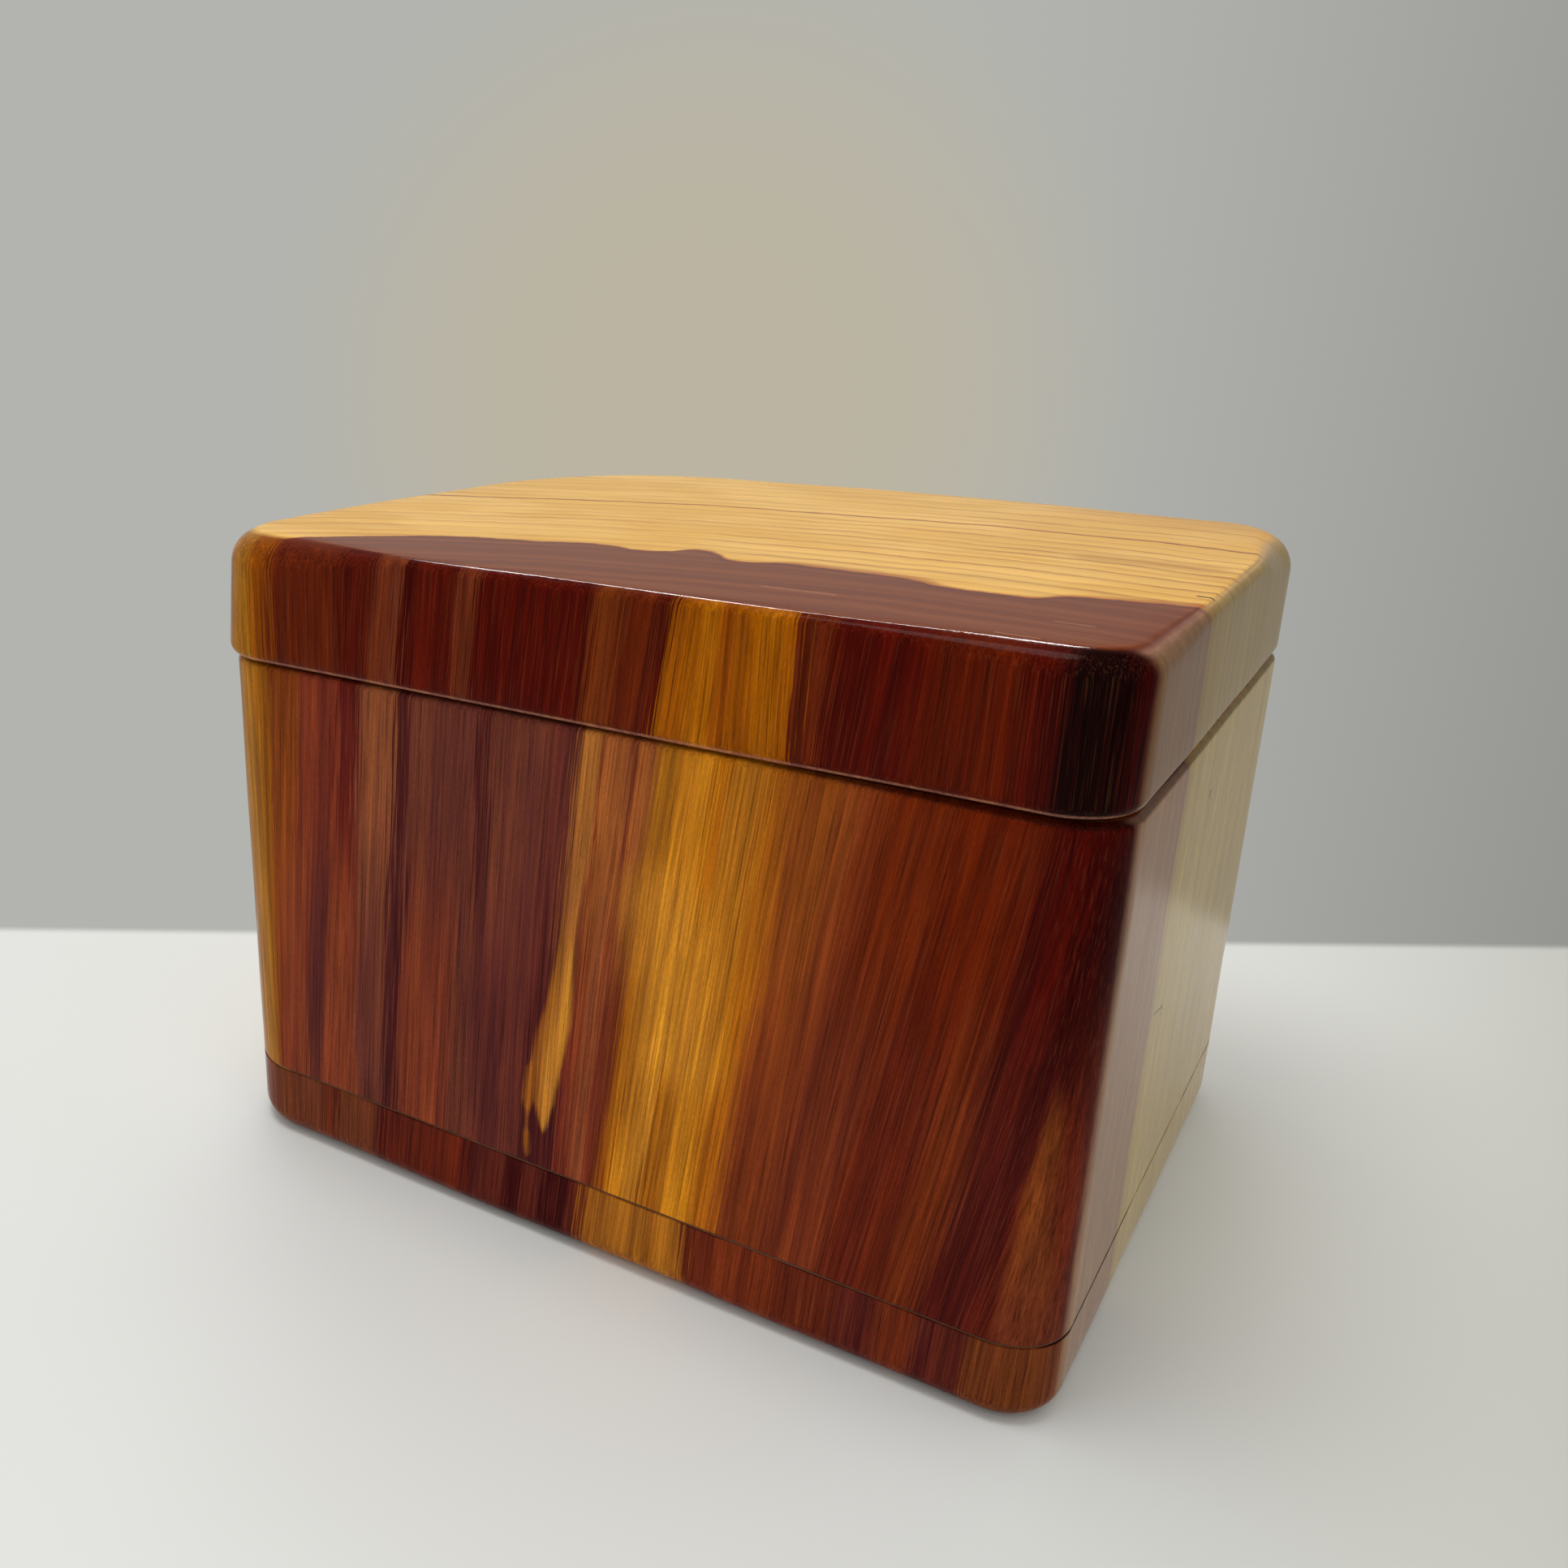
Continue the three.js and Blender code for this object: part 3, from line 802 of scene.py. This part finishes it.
class Cedar(Graph):
    """The parts of the solid cedar texture that its materials share."""

    def __init__(self, name, lean, level_of_figure):
        super().__init__(bpy.data.materials.new(name))
        self.shader = self.nodes["Principled BSDF"]
        coordinates = self.nodes.new("ShaderNodeTexCoord")
        self.place = self.scaled(coordinates.outputs["Object"], 1 / MM)
        x, self.y, self.z = self.parts(self.place)
        self.x = self.minus(x, BODY_SET_RIGHT)
        self.above_rim = self.minus(self.z, RIM_HEIGHT)
        below = self.minus(level_of_figure, self.z)
        self.along = self.plus(self.x, self.times(below, self.curve_along(self.x, lean)))
        self.grain = self.combined(self.along, self.y, self.z)
        to_right, to_back, self.up = self.parts(coordinates.outputs["Normal"])
        self.end_grain = self.rise(self.size(self.up), *END_GRAIN_NORMAL)
        self.right = self.rise(to_right, *RIGHT_NORMAL)
        self.front = self.rise(to_back, *FRONT_NORMAL)
        self.add_rings()
        self.add_sapwood()
        self.add_fibres()

    def wander(self, place, waver):
        """A noise that strays about nought by up to roughly the waver's reach."""
        strays = self.minus(self.noise(self.stretched(place, waver.fineness), waver.detail), 0.5)
        return self.times(strays, NOISE_GAIN * waver.reach)

    def patchy(self, place, patches):
        """How strong the soft patches are at a place."""
        return self.rise(self.noise(self.stretched(place, patches.fineness)), *patches.ramp)

    def smear(self, place, smear):
        """How strong a soft smear is at a place."""
        return self.rise(self.distance_to_line(place, smear.start, smear.end), *smear.ramp)

    def contrast(self, noise, strength):
        """A noise as a light that is up to so much darker and lighter than 1."""
        return self.slope(noise, *NOISE_RANGE, 1 - strength, 1 + strength)

    def add_rings(self):
        """How dark the growth rings are: soft and faint to the left, and crisp to the right."""
        radius = self.vector("DISTANCE", self.stretched(self.place, FLAT), PITH, "Value")
        drift = self.wander(self.place, RING_DRIFT)
        self.radius = self.plus(self.plus(radius, drift), self.wander(self.place, RING_TREMOR))
        soft = self.times(self.colours_along(self.radius, ring_stops(*SOFT_RING)), SOFT_RING_STRENGTH)
        crisp = self.colours_along(self.radius, ring_stops(*CRISP_RING))
        crispness = self.rise(self.x, *CRISP_ACROSS)
        rings = self.larger(self.times(crisp, crispness), soft)
        rings = self.times(rings, self.patchy(self.place, RING_PATCHES))
        away = self.size(self.minus(self.radius, STRONG_RING))
        strong = self.rise(away, *STRONG_RING_FADE)
        self.rings = self.larger(rings, strong)
        # A painted highlight just beyond each crisp ring, as on raised latewood
        beyond = self.colours_along(self.minus(self.radius, RING_HIGHLIGHT_OFFSET), ring_stops(*RING_HIGHLIGHT))
        self.ring_highlight = self.times(beyond, self.rise(self.x, *RING_HIGHLIGHT_ACROSS))

    def add_sapwood(self):
        """Where sapwood is, and the orange fringe that it has beside the heartwood."""
        edge = self.curve_along(self.x, HEART_EDGE)
        past_edge = self.plus(self.minus(self.y, edge), self.wander(self.place, EDGE_FRAY))
        self.sap = self.rise(past_edge, *SAP_START)
        width = self.curve_along(self.x, FRINGE_WIDTH)
        self.fringe = self.rise(self.math("DIVIDE", past_edge, width), 1.0, 0.0)
        self.heart_rim = self.rise(past_edge, *HEART_RIM)

    def add_fibres(self):
        """The layers of the long grain's fibres, and the arcs of the end grain."""
        self.fibres = {}
        for name, layer in FIBRES.items():
            place = self.stretched(self.grain, (layer.across, layer.across, layer.along))
            self.fibres[name] = self.noise(place, layer.detail, layer.roughness)
        arc_place = self.stretched(self.combined(self.radius, self.x, self.z), ARC_FINENESS)
        self.arcs = self.noise(arc_place, *ARC_NOISE)

    def fibre_light(self):
        """How light or dark the fibres of the long grain are."""
        light = self.slope(self.fibres["hair"], *DARK_HAIRS)
        for name, layer in FIBRES.items():
            if layer.contrast:
                light = self.times(light, self.contrast(self.fibres[name], layer.contrast))
        return light

    def streaked(self, colour, amount):
        """The colour with purple, orange and pale fibres, and the light and dark of all its fibres."""
        purple = self.mix(1.0, colour, PURPLE_TINT, "MULTIPLY")
        orange = self.mix(1.0, colour, ORANGE_TINT, "MULTIPLY")
        hued = self.mix(self.rise(self.fibres["broad"], *HUE_RANGE), purple, orange)
        pale = self.rise(self.fibres["hair"], *PALE_HAIRS)
        fibrous = self.mix(pale, self.scaled(hued, self.fibre_light()), PALE_FIBRE)
        share = self.slope(self.front, 0.0, 1.0, SIDE_FIBRES * amount, amount)
        long_grain = self.mix(share, colour, fibrous)
        grit_light = self.contrast(self.fibres["grit"], END_GRIT_CONTRAST)
        arc_light = self.times(self.contrast(self.arcs, ARC_CONTRAST), grit_light)
        return self.mix(self.end_grain, long_grain, self.scaled(colour, arc_light))

    def sap_colour(self, wood, ring_share):
        # The sapwood's pale clouds, and the painted highlight beside its rings
        lighter = self.larger(self.patchy(self.place, SAP_CLOUDS), self.ring_highlight)
        colour = self.mix(lighter, wood.sap, wood.pale)
        colour = self.mix(self.times(self.rings, ring_share), colour, wood.latewood)
        return self.mix(self.times(self.fringe, FRINGE_SHARE), colour, wood.fringe)

    def heart_colour(self, wood):
        bands = self.patchy(self.combined(self.radius, 0.0, 0.0), HEART_BANDS)
        heart = self.mix(bands, wood.dark_heart, wood.heart)
        return self.mix(self.times(self.heart_rim, HEART_RIM_SHARE), heart, wood.heart_edge)

    def brown_patches(self):
        """Where the sapwood's end grain is browner: a patch at the right and the back right corner."""
        flat = self.stretched(self.place, FLAT)
        return self.larger(self.smear(flat, BROWN_PATCH), self.smear(flat, BROWN_CORNER))

    def top_wood(self):
        """The sapwood and the heartwood of the end grain."""
        sap = self.mix(self.brown_patches(), self.sap_colour(TOP_WOOD, 1.0), TOP_SAP_BROWN)
        # Painted shade darkens the heartwood where the top rounds over its edges
        round_shade = self.rise(self.up, *TOP_ROUND_NORMAL)
        return sap, self.mix(round_shade, self.heart_colour(TOP_WOOD), TOP_HEART_ROUND_SHADE)

    def side_wood(self, right_shade):
        """The sapwood and the heartwood of the long grain, with painted shade on a right side."""
        golden = self.rise(self.y, *CORNER_GOLD_BACK)
        sap = self.mix(golden, self.sap_colour(SIDE_WOOD, SIDE_RINGS_SHARE), CORNER_GOLD)
        sap = self.mix(self.right, sap, right_shade, "MULTIPLY")
        heart = self.mix(self.right, self.heart_colour(SIDE_WOOD), right_shade, "MULTIPLY")
        return sap, self.mix(self.rise(self.y, *CORNER_MAROON_BACK), heart, CORNER_MAROON)

    def general_wood(self, right_shade):
        """The end grain, and the long grain of the sides without a figure of their own."""
        top_sap, top_heart = self.top_wood()
        side_sap, side_heart = self.side_wood(right_shade)
        sap = self.mix(self.end_grain, side_sap, top_sap)
        heart = self.mix(self.end_grain, side_heart, top_heart)
        return self.mix(self.sap, heart, sap)

    def faced(self, figure, right_shade):
        return self.mix(self.front, self.general_wood(right_shade), figure)

    def figure(self, *stops):
        """The streaky figure of a front. Its edges are frayed along the fibres."""
        along = self.along
        for fray in FIGURE_FRAYS:
            along = self.plus(along, self.wander(self.grain, fray))
        return [self.colours_along(along, colours) for colours in stops]

    def flame(self, middle, reach, softness):
        """Where a flame lies on the body's front: about its middle at each height, within its reach."""
        off = self.minus(self.x, self.curve_along(self.z, middle))
        off = self.plus(off, self.wander(self.grain, FLAME_FRAY))
        room = self.minus(self.curve_along(self.z, reach), self.size(off))
        return self.rise(room, -softness, softness), self.rise(off, *FLAME_LIT_SIDE)

    def seam(self):
        """The dark glue line where the base meets the ring."""
        off = self.size(self.minus(self.z, BASE_THICKNESS))
        line = self.rise(self.plus(off, self.wander(self.place, SEAM_WAVE)), *SEAM_LINE)
        patches = self.patchy(self.place, SEAM_PATCHES)
        at_right = self.rise(self.x, *SEAM_DARK_ACROSS)
        at_front = self.rise(self.y, *SEAM_DARK_BACK)
        return self.times(line, self.larger(patches, self.times(at_right, at_front)))

    def rim_shade(self):
        """Painted shade on the round of the body's rim, under the lid."""
        height = self.plus(self.above_rim, self.rise(self.x, *RIM_SHADE_ACROSS))
        high = self.rise(height, *RIM_SHADE_HIGH)
        return self.times(high, self.rise(self.up, *RIM_ROUND_NORMAL))

    def lid_lip(self, colour):
        """The lid's lower edge: painted shade beneath, with a thin painted highlight above."""
        off = self.size(self.minus(self.above_rim, LIP_HEIGHT))
        line = self.rise(off, *LIP_LINE)
        colour = self.mix(self.times(line, self.front), colour, LIP_HIGHLIGHT)
        low = self.rise(self.above_rim, *FOOT_SHADE_HIGH)
        return self.mix(self.times(low, self.rise(self.up, *LID_FOOT_NORMAL)), colour, SHADE)

    def marked(self, colour, marks):
        for mark in marks:
            away = self.distance_to_line(self.place, mark.start, mark.end)
            away = self.plus(away, self.wander(self.place, MARK_WAVE))
            share = self.rise(away, mark.width, mark.width / 3, 0.0, mark.strength)
            colour = self.mix(share, colour, mark.colour)
        return colour

    def finish(self, colour, finish, add_height):
        """Feeds the shader a finish that the wood's fibres show through."""
        inputs = self.shader.inputs
        self.feed(inputs["Base Color"], self.streaked(colour, finish.streaks))
        rough = self.rise(self.fibres[finish.rough_fibres], *NOISE_RANGE, *finish.roughness)
        self.feed(inputs["Roughness"], rough)
        inputs["Specular IOR Level"].default_value = finish.shine
        heights = [self.times(self.fibres[name], share) for name, share in finish.relief.items()]
        self.feed(inputs["Normal"], self.bump(add_height(self.plus(*heights)), *finish.bump))
        return self.owner

    def lacquered(self, colour):
        """Finishes the wood with thin lacquer over its fibres, arcs and rings."""
        end_height = self.plus(self.times(self.arcs, ARC_RELIEF), self.times(self.rings, RING_RELIEF))

        def with_end_grain(height):
            return self.slope(self.end_grain, 0.0, 1.0, height, end_height)

        return self.finish(colour, LACQUER, with_end_grain)


# Small marks of the wood, and one painted highlight: from where to where, how wide, how strong and of
# what colour
Mark = namedtuple("Mark", "start end width strength colour")
DARK_MARK = own_colour(40, 20, 14, TOP)
PALE_MARK_AND_HIGHLIGHT = own_colour(196, 152, 124, TOP)
LID_MARKS = [
    Mark((48.2, -12.3, BOX_HEIGHT), (50.4, -12.6, BOX_HEIGHT), 0.35, 0.9, DARK_MARK),
    Mark((50.6, -12.2, BOX_HEIGHT - 0.6), (50.8, -10.6, BOX_HEIGHT - 2.6), 0.4, 0.7, DARK_MARK),
    Mark((14.4, -31.2, BOX_HEIGHT), (21.4, -31, BOX_HEIGHT), 0.25, 0.4, PALE_MARK_AND_HIGHLIGHT),
    Mark((40.4, -30.2, BOX_HEIGHT), (43.6, -30.4, BOX_HEIGHT), 0.25, 0.3, PALE_MARK_AND_HIGHLIGHT),
    Mark((37.7, -37, BOX_HEIGHT), (41.2, -37.2, BOX_HEIGHT), 0.25, 0.3, PALE_MARK_AND_HIGHLIGHT),
    # A painted highlight: the small light speck on the dark right corner of the lid's front
    Mark((45.9, -40, 67.4), (45.9, -40, 68.2), 0.4, 0.8, PALE_MARK_AND_HIGHLIGHT),
]
BODY_MARKS = [
    Mark((50.4, -14.4, 32.4), (50.4, -10.6, 31.6), 0.25, 0.7, DARK_MARK),
    Mark((50.4, -10.6, 31.6), (50.4, -10.8, 30.8), 0.3, 0.6, DARK_MARK),
    Mark((50.4, -2.1, 51.1), (50.4, -2.1, 51.5), 0.45, 0.8, DARK_MARK),
]


def make_lid_lacquer():
    cedar = Cedar("cedar_lid", LID_LEAN, RIM_HEIGHT)
    colour = cedar.faced(cedar.figure(LID_FIGURE)[0], LID_RIGHT_SHADE)
    return cedar.lacquered(cedar.lid_lip(cedar.marked(colour, LID_MARKS)))


def with_flames(cedar, figure):
    """The body's figure with the pale flame, its left prong and the orange flame."""
    flame, lit_side = cedar.flame(FLAME_MIDDLE, FLAME_REACH, FLAME_SOFTNESS)
    flame_colour = cedar.mix(lit_side, FLAME_SHADE, FLAME)
    flame_colour = cedar.mix(cedar.rise(cedar.z, *FLAME_CHANGE), flame_colour, FLAME_TAN)
    figure = cedar.mix(flame, figure, flame_colour)
    prong = cedar.flame(PRONG_MIDDLE, PRONG_REACH, FLAME_SOFTNESS)[0]
    figure = cedar.mix(prong, figure, FLAME_SHADE)
    orange_colour = cedar.mix(cedar.rise(cedar.z, *ORANGE_CHANGE), ORANGE_PATCH_LOW, ORANGE_PATCH)
    orange = cedar.flame(ORANGE_MIDDLE, ORANGE_REACH, ORANGE_SOFTNESS)[0]
    return cedar.mix(orange, figure, orange_colour)


def make_body_lacquer():
    cedar = Cedar("cedar_body", BODY_LEAN, RIM_HEIGHT)
    high, low = cedar.figure(BODY_FIGURE_HIGH, BODY_FIGURE_LOW)
    height = cedar.plus(cedar.z, cedar.wander(cedar.grain, BLEND_FRAY))
    figure = with_flames(cedar, cedar.mix(cedar.rise(height, *FIGURE_CHANGE), low, high))
    # Painted sheen on the gold band
    figure = cedar.mix(cedar.smear(cedar.place, PAINTED_GOLD_SHEEN), figure, PALE_GOLD)
    colour = cedar.mix(cedar.seam(), cedar.faced(figure, BODY_RIGHT_SHADE), SEAM_BROWN)
    # Painted shade on the rim under the lid
    colour = cedar.mix(cedar.rim_shade(), colour, SHADE)
    return cedar.lacquered(cedar.marked(colour, BODY_MARKS))


def make_base_lacquer():
    cedar = Cedar("cedar_base", BASE_LEAN, BASE_THICKNESS)
    colour = cedar.faced(cedar.figure(BASE_FIGURE)[0], BODY_RIGHT_SHADE)
    return cedar.lacquered(cedar.mix(cedar.seam(), colour, SEAM_BROWN))


def make_bare_cedar():
    """Sawn cedar without lacquer, inside the compartment and on the plug."""
    cedar = Cedar("bare_cedar", BODY_LEAN, RIM_HEIGHT)
    colour = cedar.mix(BARE_COLOUR_SHARE, cedar.general_wood(BODY_RIGHT_SHADE), BARE_COLOUR)
    saw_marks = cedar.noise(cedar.stretched(cedar.place, SAW_FINENESS), 1.0)
    saw_height = cedar.times(saw_marks, SAW_RELIEF)
    return cedar.finish(colour, BARE, lambda height: cedar.plus(height, saw_height))


# The box

lid_lacquer = make_lid_lacquer()
body_lacquer = make_body_lacquer()
base_lacquer = make_base_lacquer()
bare_cedar = make_bare_cedar()


def is_never(centre, normal):
    return False


def inside_ring(centre, normal):
    """Faces of the sawn compartment's wall."""
    inside_x = abs(centre.x - BODY_SET_RIGHT) < CAVITY_WIDTH / 2 + SANDING_DEPTH
    inside_y = abs(centre.y) < CAVITY_DEPTH / 2 + SANDING_DEPTH
    return inside_x and inside_y and centre.z < RIM_HEIGHT - MOUTH_ROUND


def on_base_top(centre, normal):
    return normal.z > LEVEL_NORMAL


def add_piece(name, node, body, levels, closes, is_bare, materials, shift):
    piece = make_piece(name, levels, closes, is_bare, materials, shift)
    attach(piece, body)
    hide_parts(node)


add_piece("base", "base_slice", "case", base_levels(), False, on_base_top,
          [base_lacquer, bare_cedar], BODY_SET_RIGHT)
add_piece("ring", "body_ring", "case", ring_levels(), True, inside_ring,
          [body_lacquer, bare_cedar], BODY_SET_RIGHT)
add_piece("lid", "lid_slab", "lid", lid_levels(), False, is_never, [lid_lacquer], 0.0)
add_piece("plug", "lid_plug", "lid", plug_levels(), False, is_never, [bare_cedar], 0.0)


# Floor and background

# The darker right-hand colours of the wall and floor are painted shade, and the wall's glow is painted
# bounced light
WALL = own_colour(179, 180, 175)
WALL_RIGHT_SHADE = own_colour(128, 128, 124)
WALL_BOUNCE_GLOW = own_colour(187, 180, 162)
FLOOR = own_colour(231, 233, 229)
FLOOR_RIGHT_SHADE = own_colour(196, 195, 186)
FLOOR_REACH = 3
FLOOR_SHINE = 0.2
FLOOR_ROUGHNESS = (0.5, 0.6)
MOTTLE_FINENESS = (9, 9, 9)
MOTTLE_SHARE = 0.04
AMBIENT = 0.72

# Where the floor turns to its painted shade on the right, and where it ends at the wall, as distances
# in metres to the right, to the back and from the middle
FLOOR_RIGHT_ACROSS = (0.03, 0.13)
AWAY = (-0.541, 0.841, 0)
WALL_AWAY = (0.0445, 0.0475)
WALL_AROUND = (0.2, 0.33)

# Where painted shade darkens the wall, as directions clockwise from straight left, and from where they
# are taken
DARKER_TURN = (math.radians(68), math.radians(112))
CAMERA_PLACE = (0.0707, -0.14975, 0.0983)

# The painted warm glow of light bounced from the box onto the wall behind it: its direction, and how
# far it spreads
GLOW_DIRECTION = (-0.471, 0.879, -0.076)
GLOW_NEAR = (math.cos(math.radians(17)), 1)


def seen_directly(graph):
    """1 for what the camera sees, also in a reflection or through glass, and 0 for other light."""
    path = graph.add("ShaderNodeLightPath", {})
    seen = graph.plus(path.outputs["Is Camera Ray"], path.outputs["Is Glossy Ray"])
    return graph.math("MINIMUM", graph.plus(seen, path.outputs["Is Transmission Ray"]), 1.0)


def wall_colour(graph, direction):
    """The wall's colour in a direction: painted shade darkens it to the right, and a painted glow of
    bounced light lies behind the box.
    """
    direction = graph.vector("NORMALIZE", direction, (0, 0, 0))
    to_right, to_back = graph.parts(direction)[:2]
    turn = graph.math("ARCTAN2", to_back, graph.times(to_right, -1.0))
    plain = graph.mix(graph.rise(turn, *DARKER_TURN), WALL, WALL_RIGHT_SHADE)
    near_glow = graph.vector("DOT_PRODUCT", direction, GLOW_DIRECTION, "Value")
    return graph.mix(graph.rise(near_glow, *GLOW_NEAR), plain, WALL_BOUNCE_GLOW)


def make_floor():
    graph = Graph(bpy.data.materials.new("floor"))
    shader = graph.nodes["Principled BSDF"]
    place = graph.nodes.new("ShaderNodeTexCoord").outputs["Object"]
    away = graph.vector("DOT_PRODUCT", place, AWAY, "Value")
    around = graph.vector("LENGTH", place, (0, 0, 0), "Value")
    far = graph.larger(graph.rise(away, *WALL_AWAY), graph.rise(around, *WALL_AROUND))
    mottle = graph.noise(graph.stretched(place, MOTTLE_FINENESS), 3.0)
    # Painted shade darkens the floor towards the right
    right = graph.rise(graph.parts(place)[0], *FLOOR_RIGHT_ACROSS)
    colour = graph.mix(right, FLOOR, FLOOR_RIGHT_SHADE)
    colour = graph.mix(graph.times(mottle, MOTTLE_SHARE), colour, WALL)
    graph.feed(shader.inputs["Base Color"], colour)
    graph.feed(shader.inputs["Roughness"], graph.rise(mottle, *NOISE_RANGE, *FLOOR_ROUGHNESS))
    shader.inputs["Specular IOR Level"].default_value = FLOOR_SHINE
    wall = wall_colour(graph, graph.vector("SUBTRACT", place, CAMERA_PLACE))
    glow = graph.add("ShaderNodeEmission", {"Color": wall, "Strength": 1.0}).outputs[0]
    share = graph.times(far, seen_directly(graph))
    both = graph.add("ShaderNodeMixShader", {0: share, 1: shader.outputs[0], 2: glow})
    graph.links.new(both.outputs[0], graph.nodes["Material Output"].inputs["Surface"])
    mesh = bpy.data.meshes.new("floor")
    r = FLOOR_REACH
    mesh.from_pydata([(-r, -r, 0), (r, -r, 0), (r, r, 0), (-r, r, 0)], [], [(0, 1, 2, 3)])
    mesh.materials.append(graph.owner)
    put_in_scene("floor", mesh)


def make_world():
    graph = Graph(bpy.data.worlds.new("studio"))
    direction = graph.nodes.new("ShaderNodeTexCoord").outputs["Generated"]
    colour = graph.mix(seen_directly(graph), grey(AMBIENT), wall_colour(graph, direction))
    graph.feed(graph.nodes["Background"].inputs["Color"], colour)
    bpy.context.scene.world = graph.owner


def make_lamp(name, place, target, width, height, power):
    data = bpy.data.lights.new(name, "AREA")
    data.shape = "ELLIPSE"
    data.size = width
    data.size_y = height
    data.energy = power
    lamp = put_in_scene(name, data)
    lamp.location = place
    lamp.rotation_euler = (Vector(target) - Vector(place)).to_track_quat("-Z", "Y").to_euler()
    return lamp


make_floor()
make_world()
make_lamp("softbox", (-0.06, -0.08, 0.50), (0.0, 0.0, 0.04), 0.22, 0.22, 0.75)

# The glint only shows as a line of light in the lacquer along the lid's front edge
glint = make_lamp("glint", (-0.17, 0.22, 0.40), (0.0, 0.0, 0.07), 0.36, 0.05, 4.0)
glint.visible_diffuse = False


# Camera, fitted to the photograph's angle of view

IMAGE_SIZE = 1932
FOCAL_PIXELS = 1786
SENSOR = 36
SHIFT_PIXELS = 258
CAMERA_TURN = 32.758
CAMERA_TILT = 70.927
CAMERA_ROLL = 0.664
NEAREST = 0.01


def make_camera():
    data = bpy.data.cameras.new("camera")
    data.sensor_width = SENSOR
    data.lens = FOCAL_PIXELS / IMAGE_SIZE * SENSOR
    data.shift_x = SHIFT_PIXELS / IMAGE_SIZE
    data.clip_start = NEAREST
    camera = put_in_scene("camera", data)
    turn = Matrix.Rotation(math.radians(CAMERA_TURN), 4, "Z")
    tilt = Matrix.Rotation(math.radians(CAMERA_TILT), 4, "X")
    roll = Matrix.Rotation(math.radians(CAMERA_ROLL), 4, "Z")
    camera.matrix_world = Matrix.Translation(CAMERA_PLACE) @ turn @ tilt @ roll
    bpy.context.scene.camera = camera


make_camera()

bpy.context.scene.view_settings.view_transform = "Standard"
